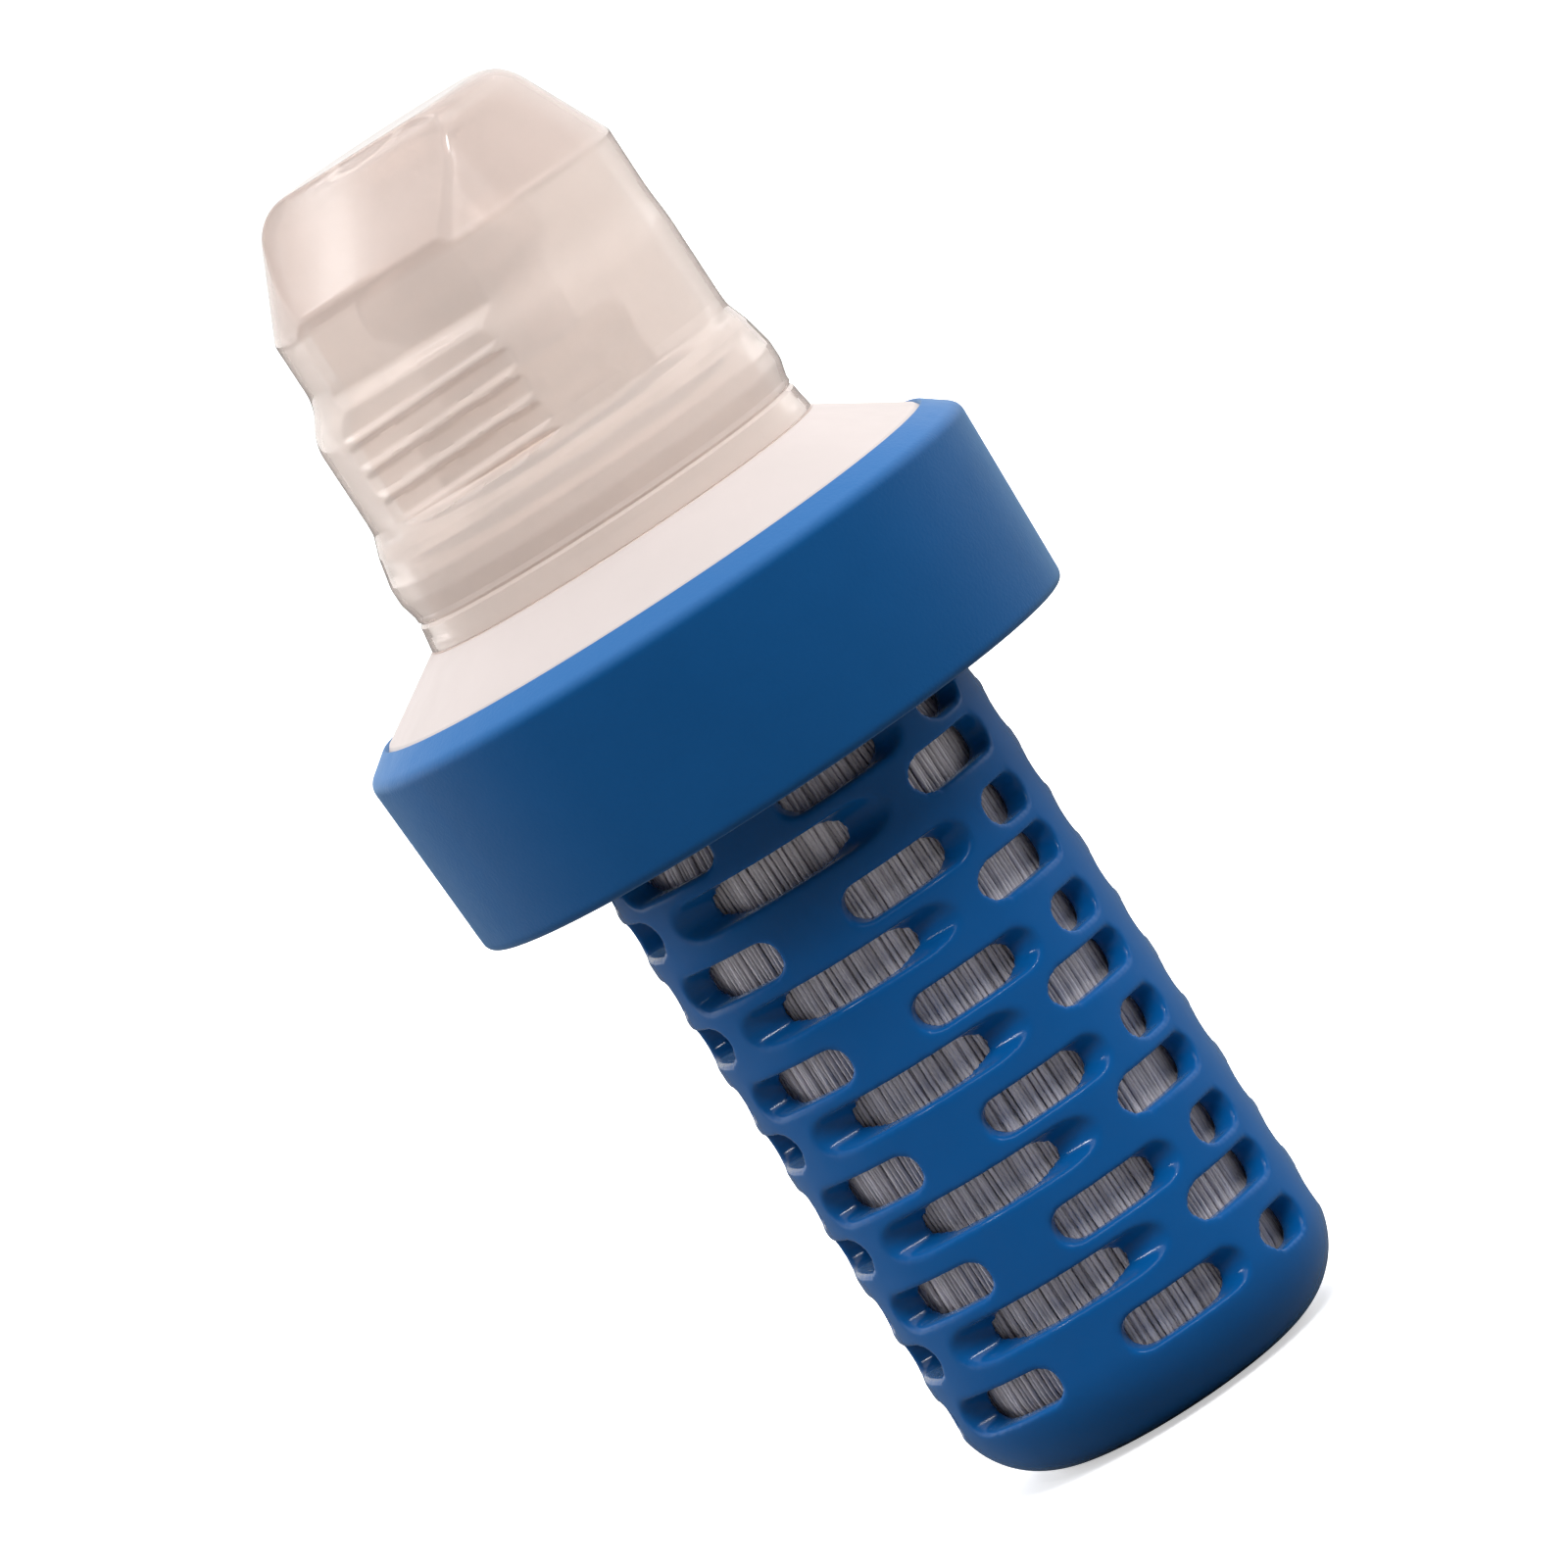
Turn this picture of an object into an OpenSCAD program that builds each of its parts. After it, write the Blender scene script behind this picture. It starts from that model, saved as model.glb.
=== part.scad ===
/* Bottle water filter: a hollow-fibre cartridge that hangs inside a soft
   flask from a screw-on drinking cap, with a clear dust cap over the nozzle.
   Millimetres, +Z up towards the nozzle. The origin is the centre of the
   cage's flat bottom. The cage's slots are cut straight along X. */

/* [Filter cage] */
// Outer radius of the cage
cage_r = 15.68; // [15.6:0.02:15.8]
// Thickness of the cage wall
cage_wall = 1.96; // [1.8:0.02:2.2]
// Height of the cage up to its top rim
cage_h = 59; // [58.5:0.1:59.5]
// Radius of the rounded bottom edge
cage_corner_r = 7; // [5:0.5:8]

/* [Cage slots] */
// Number of slot rows
slot_rows = 11; // [3:1:11]
// Height of the centre of the lowest row
slot_z0 = 7.85; // [7.5:0.05:8.5]
// Distance between two rows
slot_pitch = 4.6; // [4.4:0.05:4.65]
// How far the split rows are lowered and the wide rows raised
row_stagger = 0.2; // [0:0.05:0.3]
// Height of one slot
slot_h = 2.95; // [2.4:0.05:3.4]
// Half width of the solid rib on the two sides of the cage
side_rib = 2.45; // [1.5:0.05:3]
// Where the side slots of the wide rows end
wide_side_end = 10.85; // [8:0.05:11]
// Depth at which the front slots of the wide rows begin
wide_front_start = 12.6; // [12.2:0.05:12.8]
// Where the side slots of the split rows end
split_side_end = 7.65; // [6:0.05:7.8]
// Depth at which the corner slots of the split rows begin
split_corner_start = 9.65; // [9:0.05:10]
// Half width of the solid post in the split rows
split_post = 2.84; // [2:0.02:4]

/* [Hollow fibres] */
// Radius of the whole fibre bundle
bundle_r = 13.3; // [12:0.1:13.3]
// Radius of the hank in the middle
core_hank_r = 4.6; // [3:0.1:6]
// Height of the lowest loops of the fibres
bundle_z0 = 4.2; // [3.5:0.1:7]

/* [Screw cap] */
// Outer radius of the grip ring at its top
grip_r = 25.5; // [24.8:0.1:27]
// Outer radius of the grip ring at its bottom
grip_low_r = 24.9; // [24.2:0.1:26]
// Bottom of the grip ring
grip_z0 = 54.7; // [54:0.1:55.2]
// Top of the grip ring
grip_z1 = 71.2; // [70.9:0.1:71.4]
// Outer radius of the cap's skirt inside the grip ring
skirt_r = 23; // [22.6:0.1:23.6]
// Radius of the root of the flask thread
thread_root_r = 21.7; // [21.4:0.1:21.9]
// Radius of the crest of the flask thread
thread_crest_r = 20.6; // [20.4:0.1:21]
// Pitch of the flask thread
thread_pitch = 4; // [3:0.5:4]

/* [Nozzle] */
// Radius of the nozzle's mouth
mouth_r = 7.4; // [6.5:0.1:8]
// Height of the top of the pushed-in nozzle
nozzle_top = 100.9; // [100:0.1:101.2]
// How far the nozzle pulls out
nozzle_travel = 3.5; // [2:0.5:3.5]
// Outer radius of the knurled retainer
retainer_r = 9; // [8.6:0.1:10]
// Number of knurls on each band of the retainer
knurls = 60; // [30:1:72]

/* [Dust cap] */
// Outer radius of the dust cap's body
dust_r = 15.25; // [15:0.05:15.5]
// Outer radius of the dust cap's base ring
dust_ring_r = 16.4; // [16.2:0.1:16.8]
// Wall of the dust cap
dust_wall = 1.5; // [1.2:0.1:1.6]
// Height of the top of the dust cap
dust_top = 108.6; // [108.5:0.1:109]
// Distance of the ribbed thumb panel from the axis
panel_d = 13.1; // [12.7:0.1:13.5]
// Number of ribs on the thumb panel
panel_ribs = 4; // [2:1:4]
// Angle by which the dust cap is turned on its seat
dust_turn = -13; // [-180:1:180]

/* [Hidden] */
$fn = 96;

run_gap = 0.05;              // radial clearance of parts that slide
reach = 60;                  // longer than any cut it is used for
cage_in_r = cage_r - cage_wall;
slot_r = slot_h / 2;
outer_hanks = 5;             // hanks around the middle one, one sub-part each

// Cartridge head, which joins the cage, the resin and the screw cap
head_in_r = 11.8;
head_r = 14;
head_flange_h = 1.8;
head_plug_h = 1.8;
head_top = 69;
resin_z0 = cage_h - head_plug_h;
resin_h = 10.8;
o_ring_wire = 0.6;
o_ring_zs = [63.4, 66.4];
groove_w = 1.5;
groove_r = head_r - 1.2;

// Screw cap
socket_r = head_r + run_gap;
socket_out_r = 15.5;
socket_z0 = cage_h + head_flange_h + run_gap;
plate_z = 66.9;              // ceiling that the gasket lies against
gasket_h = 1;
gasket_in_r = 17.2;
gasket_out_r = 20.4;
skirt_z0 = grip_z0 + 0.6;
cone_r = 22.7;
cone_top_r = 16.5;
cone_top_z = 75.1;
seat_r = 14.8 - run_gap;     // the dust cap slides over this seat
seat_top = 81;
grip_shoulder_z = 69.5;
grip_edge = 0.8;

// Nozzle parts
neck_bore = 6.6;
neck_r = 7.8;
neck_top = 88;
lip_h = 1.4;
stem_r = 5.8;
stem_bore = 4.4;
piston_r = neck_bore - run_gap;
piston_z0 = 80;
piston_z1 = neck_top - nozzle_travel - 0.1;
orifice_r = 2.4;
core_tip_r = orifice_r - run_gap;
core_z0 = 75.8;
core_h = 2.2;
retainer_z0 = 83;
knurl_r = 0.22;

// Dust cap
ring_z0 = 75.15;
ring_z1 = 82.2;
body_z0 = 84.6;
ledge_z = 92.4;              // here the body begins to round over to a slimmer part
ledge_round = 3;
ledge_arc = 60;
upper_r = 14.4;
upper_shift = 0.65;
shoulder_z = 99.9;           // here the cone of the top begins
cone_run = 0.481;            // radius lost per height on the cone
cone_slope = atan(cone_run);
top_round = 4;
upper_panel_d = 12;
facet_z0 = 100.7;            // here the slanting facet begins
facet_slope = atan(0.919);
seal_in_r = 2.6;
seal_out_r = 3.6;
seal_h = 1.6;

// Points of a quarter arc about c, from angle a0 to a1
function arc(c, r, a0, a1, n = 6) =
  [for (i = [0:n]) c + r * [cos(a0 + (a1 - a0) * i / n), sin(a0 + (a1 - a0) * i / n)]];

// A slot's outline in its own plane: straight sides and full round ends
module slot_outline(from, to) {
  translate([from + slot_r, -slot_r]) square([to - from - slot_h, slot_h]);
  translate([from + slot_r, 0]) circle(r = slot_r);
  translate([to - slot_r, 0]) circle(r = slot_r);
}

// A pair of slots at y = from to y = to, cut right through along X
module through_slots(from, to) {
  rotate([90, 0, 90])
    linear_extrude(height = reach, center = true)
      for (side = [0, 1]) mirror([side, 0]) slot_outline(from, to);
}

// Everything in a row but the post in the middle, with round ends beside it
module beside_post() {
  rotate([90, 0, 0])
    linear_extrude(height = reach, center = true)
      for (side = [0, 1]) mirror([side, 0]) slot_outline(split_post, reach / 2);
}

module wide_row() {
  through_slots(wide_front_start, reach / 2);
  through_slots(side_rib, wide_side_end);
}

module split_row() {
  through_slots(side_rib, split_side_end);
  intersection() {
    through_slots(split_corner_start, reach / 2);
    beside_post();
  }
}

// Half outline of a cup with a rounded bottom edge
module cup_outline(r, z0, z1, corner) {
  translate([0, z0 + corner]) square([r, z1 - z0 - corner]);
  translate([0, z0]) square([r - corner, corner]);
  intersection() {
    translate([r - corner, z0 + corner]) circle(r = corner);
    translate([r - corner, z0]) square([corner, corner]);
  }
}

module filter_cage() {
  color("#0e5ca0")
    difference() {
      rotate_extrude()
        cup_outline(cage_r, 0, cage_h, cage_corner_r);
      rotate_extrude()
        cup_outline(cage_in_r, cage_wall, cage_h + 1, cage_corner_r - cage_wall);
      for (row = [0:slot_rows - 1])
        if (row % 2 == 0)
          translate([0, 0, slot_z0 + row * slot_pitch - row_stagger]) split_row();
        else
          translate([0, 0, slot_z0 + row * slot_pitch + row_stagger]) wide_row();
    }
}

// One hank between two radii, closed at its looped bottom end
module hank(in_r, out_r, angle) {
  loop = 2.6;
  neck_z = resin_z0 - 3.4;
  neck_out = min(out_r, head_in_r - 0.2);
  rotate_extrude(angle = angle)
    polygon([
      [in_r, bundle_z0], [out_r - loop, bundle_z0], [out_r, bundle_z0 + loop],
      [out_r, neck_z], [neck_out, resin_z0], [in_r, resin_z0]
    ]);
}

module fibre_hank_core() {
  color("#c9bdbd") hank(0, core_hank_r, 360);
}

module outer_hank(i) {
  gap = 3;                   // degrees left free between two hanks
  step = 360 / outer_hanks;
  color("#cfc4c4")
    rotate(i * step + gap / 2)
      hank(core_hank_r + 0.3, bundle_r, step - gap);
}

module potting_resin() {
  color("#d9cfae")
    translate([0, 0, resin_z0]) cylinder(r = head_in_r, h = resin_h);
}

module cartridge_head() {
  lead = 0.6;
  color("#e9e9e6")
    difference() {
      union() {
        translate([0, 0, resin_z0]) cylinder(r = cage_in_r, h = head_plug_h);
        translate([0, 0, cage_h]) cylinder(r = cage_r, h = head_flange_h);
        translate([0, 0, cage_h]) cylinder(r = head_r, h = head_top - cage_h - lead);
        translate([0, 0, head_top - lead]) cylinder(r1 = head_r, r2 = head_r - lead, h = lead);
      }
      translate([0, 0, resin_z0 - 1]) cylinder(r = head_in_r, h = reach);
      for (z = o_ring_zs)
        translate([0, 0, z - groove_w / 2])
          difference() {
            cylinder(r = head_r + 1, h = groove_w);
            cylinder(r = groove_r, h = groove_w);
          }
    }
}

module head_o_ring(i) {
  color("#2b2b2d")
    rotate_extrude()
      translate([groove_r + o_ring_wire, o_ring_zs[i]]) circle(r = o_ring_wire);
}

// One stretch of thread: a ridge that stands inwards from the skirt
module thread_stretch(angle) {
  foot = 1.7;
  crest = 0.7;
  rotate_extrude(angle = angle)
    polygon([
      [thread_root_r + 0.2, -foot / 2], [thread_root_r + 0.2, foot / 2],
      [thread_crest_r, crest / 2], [thread_crest_r, -crest / 2]
    ]);
}

// The flask thread, broken into short stretches that climb round the skirt
module flask_thread() {
  stretches = 12;
  per_turn = 6;
  for (i = [0:stretches - 1])
    translate([0, 0, skirt_z0 + 1.6 + i * thread_pitch / per_turn])
      rotate(i * 360 / per_turn) thread_stretch(360 / per_turn - 14);
}

// The shell of the cap from the skirt over the cone to the neck
module spout_shell() {
  rotate_extrude()
    polygon([
      [thread_root_r, skirt_z0], [skirt_r, skirt_z0], [skirt_r, grip_z1 - 0.4],
      [cone_r, grip_z1], [cone_top_r, cone_top_z], [seat_r, cone_top_z],
      [seat_r, seat_top - 0.5], [seat_r - 0.5, seat_top], [seat_r - 1.6, seat_top],
      [seat_r - 1.6, cone_top_z + 1.2], [neck_r, cone_top_z + 1.2],
      [neck_r, neck_top], [neck_bore, neck_top], [neck_bore, cone_top_z - 1.3],
      [seat_r - 1.6, cone_top_z - 1.3], [cone_top_r - 1.6, cone_top_z - 2],
      [socket_r + 2.6, grip_z1 - 0.6], [socket_r, grip_z1 - 0.6],
      [socket_r, socket_z0], [socket_out_r, socket_z0], [socket_out_r, plate_z],
      [thread_root_r, plate_z]
    ]);
}

module spout_body() {
  color("#eee4e2") {
    spout_shell();
    flask_thread();
  }
}

module grip_collar() {
  color("#1b5590")
    rotate_extrude()
      polygon(concat(
        [[skirt_r, skirt_z0], [thread_root_r + 0.3, skirt_z0], [thread_root_r + 0.3, grip_z0]],
        arc([grip_low_r - grip_edge, grip_z0 + grip_edge], grip_edge, -90, 0),
        [[grip_r, grip_shoulder_z - 0.5]],
        arc([grip_r - grip_edge, grip_shoulder_z - 0.4], grip_edge, 8, 50),
        [[cone_r + 0.3, grip_z1], [skirt_r, grip_z1 - 0.4]]
      ));
}

module flask_gasket() {
  color("#d8d6d0")
    translate([0, 0, plate_z - gasket_h])
      difference() {
        cylinder(r = gasket_out_r, h = gasket_h);
        translate([0, 0, -1]) cylinder(r = gasket_in_r, h = gasket_h + 2);
      }
}

// A post on a spoked foot; its tip closes the pushed-in nozzle
module valve_core() {
  foot_wall = 1.1;
  spoke_w = 1.6;
  color("#dfe3e4") {
    translate([0, 0, core_z0])
      difference() {
        cylinder(r = neck_bore, h = core_h);
        translate([0, 0, -1]) cylinder(r = neck_bore - foot_wall, h = core_h + 2);
      }
    for (a = [0:120:240])
      rotate(a)
        translate([0, -spoke_w / 2, core_z0]) cube([neck_bore - foot_wall / 2, spoke_w, core_h]);
    translate([0, 0, core_z0]) cylinder(r = core_tip_r, h = nozzle_top - core_z0);
  }
}

// Nut that snaps over the neck and holds the nozzle, with two knurled bands
module nozzle_retainer() {
  band_h = 1.5;
  band_zs = [84.0, 87.1];
  color("#e6dfd8") {
    difference() {
      union() {
        translate([0, 0, retainer_z0])
          cylinder(r = retainer_r - knurl_r, h = neck_top + lip_h - retainer_z0);
        for (z = band_zs)
          for (i = [0:knurls - 1])
            rotate(i * 360 / knurls)
              translate([retainer_r - knurl_r, 0, z]) cylinder(r = knurl_r, h = band_h, $fn = 16);
      }
      translate([0, 0, retainer_z0 - 1]) cylinder(r = neck_r, h = neck_top - retainer_z0 + 1);
      translate([0, 0, neck_top - 1]) cylinder(r = stem_r + run_gap, h = lip_h + 2);
    }
  }
}

module nozzle() {
  groove_z = (piston_z0 + piston_z1) / 2;
  mouth_z = nozzle_top - 4;
  tip_round = 3;
  roof = 1.4;
  color("#dcd3cd")
    rotate_extrude()
      polygon(concat(
        [[stem_bore, piston_z0], [piston_r, piston_z0],
         [piston_r, groove_z - 0.6], [piston_r - 1, groove_z - 0.6],
         [piston_r - 1, groove_z + 0.6], [piston_r, groove_z + 0.6],
         [piston_r, piston_z1], [stem_r, piston_z1], [stem_r, mouth_z - 2]],
        arc([mouth_r - 1, mouth_z], 1, -60, 0),
        arc([mouth_r - tip_round, nozzle_top - tip_round], tip_round, 0, 90, 10),
        [[orifice_r, nozzle_top], [orifice_r, nozzle_top - roof],
         [stem_bore, nozzle_top - roof - 2]]
      ));
}

module nozzle_o_ring() {
  wire = 0.5;
  color("#3a3a3c")
    rotate_extrude()
      translate([piston_r - wire, (piston_z0 + piston_z1) / 2]) circle(r = wire);
}

// Everything behind an upright plane at a distance from the axis
module behind(distance) {
  translate([-reach / 2, -distance, 0]) cube([reach, reach, reach * 2]);
}

// The body up to its ledge, inset by a wall thickness
module lower_dust_body(inset) {
  intersection() {
    rotate_extrude()
      polygon(concat(
        [[0, body_z0 - 3], [dust_r - inset, body_z0 - 3]],
        arc([dust_r - ledge_round, ledge_z], ledge_round - inset, 0, ledge_arc),
        [[0, ledge_z + (ledge_round - inset) * sin(ledge_arc)]]
      ));
    behind(panel_d - inset);
  }
}

// The slimmer part above the ledge with its cone, inset by a wall thickness
module upper_dust_turned(inset) {
  round_z = dust_top - top_round;
  cone_end_r = upper_r - cone_run * (round_z + top_round * sin(cone_slope) - shoulder_z);
  round_r = cone_end_r - top_round * cos(cone_slope);
  translate([upper_shift * cos(30), upper_shift * sin(30), 0])
    rotate_extrude()
      polygon(concat(
        [[0, body_z0 - 3], [upper_r - inset, body_z0 - 3],
         [upper_r - inset, shoulder_z - inset * tan(cone_slope / 2)]],
        arc([round_r, round_z], top_round - inset, cone_slope, 90),
        [[0, dust_top - inset]]
      ));
}

// What lies above the slanting facet
module above_facet(inset) {
  translate([0, -upper_panel_d + inset, facet_z0 - inset * tan(facet_slope / 2)])
    rotate([-facet_slope, 0, 0])
      translate([-reach / 2, -reach, -1]) cube([reach, reach, reach]);
}

// The cap's body above its base ring, inset by a wall thickness
module dust_body(inset) {
  lower_dust_body(inset);
  difference() {
    intersection() {
      upper_dust_turned(inset);
      behind(upper_panel_d - inset);
    }
    above_facet(inset);
  }
}

// The base ring: a foot, a waist, a belly and a shoulder up to the body
module dust_ring() {
  waist_r = dust_ring_r - 0.37;
  rotate_extrude()
    polygon([
      [0, ring_z0], [dust_ring_r, ring_z0], [dust_ring_r - 0.22, ring_z0 + 1.2],
      [waist_r, ring_z0 + 1.9], [waist_r, ring_z0 + 2.5], [dust_ring_r - 0.15, ring_z0 + 3.4],
      [dust_ring_r, ring_z0 + 4.2], [dust_ring_r, ring_z0 + 5.3],
      [dust_ring_r - 0.15, ring_z0 + 6.7], [dust_ring_r - 0.45, ring_z0 + 7.6],
      [dust_r + 0.25, ring_z0 + 8.6], [dust_r, body_z0], [0, body_z0]
    ]);
}

module panel_rib(z) {
  rib_h = 0.7;
  rib_d = 0.5;
  rise = 2;                  // degrees by which the ribs climb to the right
  translate([0, -panel_d + rib_h / 2 - rib_d, z])
    rotate([0, 90 - rise, 0]) cylinder(r = rib_h / 2, h = reach / 2, center = true, $fn = 24);
}

module dust_cap() {
  rib_z0 = 84.9;
  rib_pitch = 2.25;
  color("#d8c8c0", 0.5)
    rotate(dust_turn)
      difference() {
        union() {
          dust_ring();
          dust_body(0);
          intersection() {
            union() {
              for (i = [0:panel_ribs - 1]) panel_rib(rib_z0 + i * rib_pitch);
            }
            translate([0, 0, body_z0]) cylinder(r = dust_r - 0.1, h = ledge_z - body_z0);
          }
        }
        translate([0, 0, ring_z0 - 1]) cylinder(r = seat_r + run_gap, h = ring_z1 - ring_z0 + 1);
        dust_body(dust_wall);
      }
}

module cap_seal() {
  color("#e8e2de")
    translate([0, 0, dust_top - dust_wall - seal_h])
      difference() {
        cylinder(r = seal_out_r, h = seal_h);
        translate([0, 0, -1]) cylinder(r = seal_in_r, h = seal_h + 2);
      }
}

filter_cage();
fibre_hank_core();
outer_hank(0);  // fibre_hank_1
outer_hank(1);  // fibre_hank_2
outer_hank(2);  // fibre_hank_3
outer_hank(3);  // fibre_hank_4
outer_hank(4);  // fibre_hank_5
potting_resin();
cartridge_head();
head_o_ring(0);  // head_o_ring_lower
head_o_ring(1);  // head_o_ring_upper
spout_body();
grip_collar();
flask_gasket();
valve_core();
nozzle_retainer();
nozzle();
nozzle_o_ring();
dust_cap();
cap_seal();
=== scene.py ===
"""Looks of the bottle water filter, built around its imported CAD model.

Lengths are in millimetres until a mesh is made, and in metres for the lamps and the camera.
"""

import math

import bmesh
import bpy
import numpy as np
from mathutils import Matrix, Vector


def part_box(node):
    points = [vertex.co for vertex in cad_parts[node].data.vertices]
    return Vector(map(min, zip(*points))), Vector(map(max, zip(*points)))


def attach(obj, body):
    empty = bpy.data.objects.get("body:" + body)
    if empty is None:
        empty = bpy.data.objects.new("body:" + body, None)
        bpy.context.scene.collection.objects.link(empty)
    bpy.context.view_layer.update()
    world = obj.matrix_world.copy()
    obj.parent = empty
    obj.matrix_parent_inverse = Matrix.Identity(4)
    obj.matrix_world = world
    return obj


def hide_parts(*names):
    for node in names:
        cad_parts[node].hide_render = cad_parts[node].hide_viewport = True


MM = 0.001
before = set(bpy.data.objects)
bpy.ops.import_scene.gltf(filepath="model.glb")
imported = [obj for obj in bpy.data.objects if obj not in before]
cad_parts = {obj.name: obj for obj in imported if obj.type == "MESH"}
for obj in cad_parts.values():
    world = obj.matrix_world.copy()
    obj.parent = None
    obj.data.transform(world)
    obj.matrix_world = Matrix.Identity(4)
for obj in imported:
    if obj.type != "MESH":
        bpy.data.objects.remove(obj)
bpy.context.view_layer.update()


def node_box(name):
    """Lowest and highest corner of a CAD node, in millimetres."""
    low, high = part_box(name)
    return Vector(low) / MM, Vector(high) / MM


GRIP_LOW, GRIP_HIGH = node_box("grip_collar")
DUST_LOW, DUST_HIGH = node_box("dust_cap")
HANK_LOW, HANK_HIGH = node_box("fibre_hank_core")
GRIP_R = GRIP_HIGH.x
SKIRT_R = node_box("spout_body")[1].x
CONE_TOP_Z = 75.15  # where the white cone of the cap ends and its neck begins

# ---------------------------------------------------------------- meshes


def new_piece(name, verts, faces, sharp_deg=40):
    """A shaded mesh object from points in millimetres."""
    mesh = bpy.data.meshes.new(name)
    mesh.from_pydata((np.asarray(verts, dtype=float) * MM).tolist(), [], faces)
    mesh.update()
    shade_smooth(mesh)
    mesh.set_sharp_from_angle(angle=math.radians(sharp_deg))
    piece = bpy.data.objects.new(name, mesh)
    bpy.context.scene.collection.objects.link(piece)
    return piece


def shade_smooth(mesh):
    for polygon in mesh.polygons:
        polygon.use_smooth = True


def rounded(corners, steps=5):
    """A closed outline with each corner (r, z, radius) rounded."""
    points = []
    count = len(corners)
    for i, (r, z, radius) in enumerate(corners):
        here = np.array([r, z])
        back = np.array(corners[i - 1][:2]) - here
        ahead = np.array(corners[(i + 1) % count][:2]) - here
        back_len, ahead_len = np.linalg.norm(back), np.linalg.norm(ahead)
        back, ahead = back / back_len, ahead / ahead_len
        half = 0.5 * math.acos(max(-1.0, min(1.0, float(back @ ahead))))
        if radius <= 0 or abs(half - math.pi / 2) < 0.01:
            points.append((r, z))
            continue
        reach = min(radius / math.tan(half), 0.49 * back_len, 0.49 * ahead_len)
        start, end = here + back * reach, here + ahead * reach
        for t in np.linspace(0, 1, steps + 1):
            curve = (1 - t) ** 2 * start + 2 * t * (1 - t) * here + t**2 * end
            points.append((float(curve[0]), float(curve[1])))
    return points


def lathe(name, outline, columns=240, sharp_deg=40):
    """A solid of revolution from a closed outline of (r, z) points."""
    rows = len(outline)
    turn = np.linspace(0, 2 * math.pi, columns, endpoint=False)
    verts = [(r * math.cos(a), r * math.sin(a), z) for r, z in outline for a in turn]
    faces = []
    for i in range(rows):
        low, high = i * columns, (i + 1) % rows * columns
        for j in range(columns):
            k = (j + 1) % columns
            faces.append((low + j, low + k, high + k, high + j))
    piece = new_piece(name, verts, faces, sharp_deg)
    facing_out(piece)
    return piece


def facing_out(piece):
    """Makes the normals of a closed mesh point outwards."""
    work = bmesh.new()
    work.from_mesh(piece.data)
    bmesh.ops.recalc_face_normals(work, faces=work.faces)
    work.to_mesh(piece.data)
    work.free()


def softened_copy(node, name, voxel, passes):
    """A CAD node's shape with its edges rounded as in a mould; voxel is the size of its new mesh."""
    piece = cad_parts[node].copy()
    piece.data = piece.data.copy()
    piece.name = name
    piece.parent = None
    piece.data.materials.clear()
    bpy.context.scene.collection.objects.link(piece)
    work = bmesh.new()
    work.from_mesh(piece.data)
    bmesh.ops.remove_doubles(work, verts=work.verts, dist=1e-7)
    work.to_mesh(piece.data)
    work.free()
    remesh = piece.modifiers.new("remesh", "REMESH")
    remesh.mode = "VOXEL"
    remesh.voxel_size = voxel * MM
    remesh.use_smooth_shade = True
    smooth = piece.modifiers.new("smooth", "SMOOTH")
    smooth.factor = 0.5
    smooth.iterations = passes
    apply_modifiers(piece)
    return piece


def apply_modifiers(piece):
    """Turns a piece's modifiers into its mesh."""
    graph = bpy.context.evaluated_depsgraph_get()
    mesh = bpy.data.meshes.new_from_object(piece.evaluated_get(graph))
    piece.modifiers.clear()
    piece.data = mesh
    shade_smooth(mesh)


# ------------------------------------------------------------- materials


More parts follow.
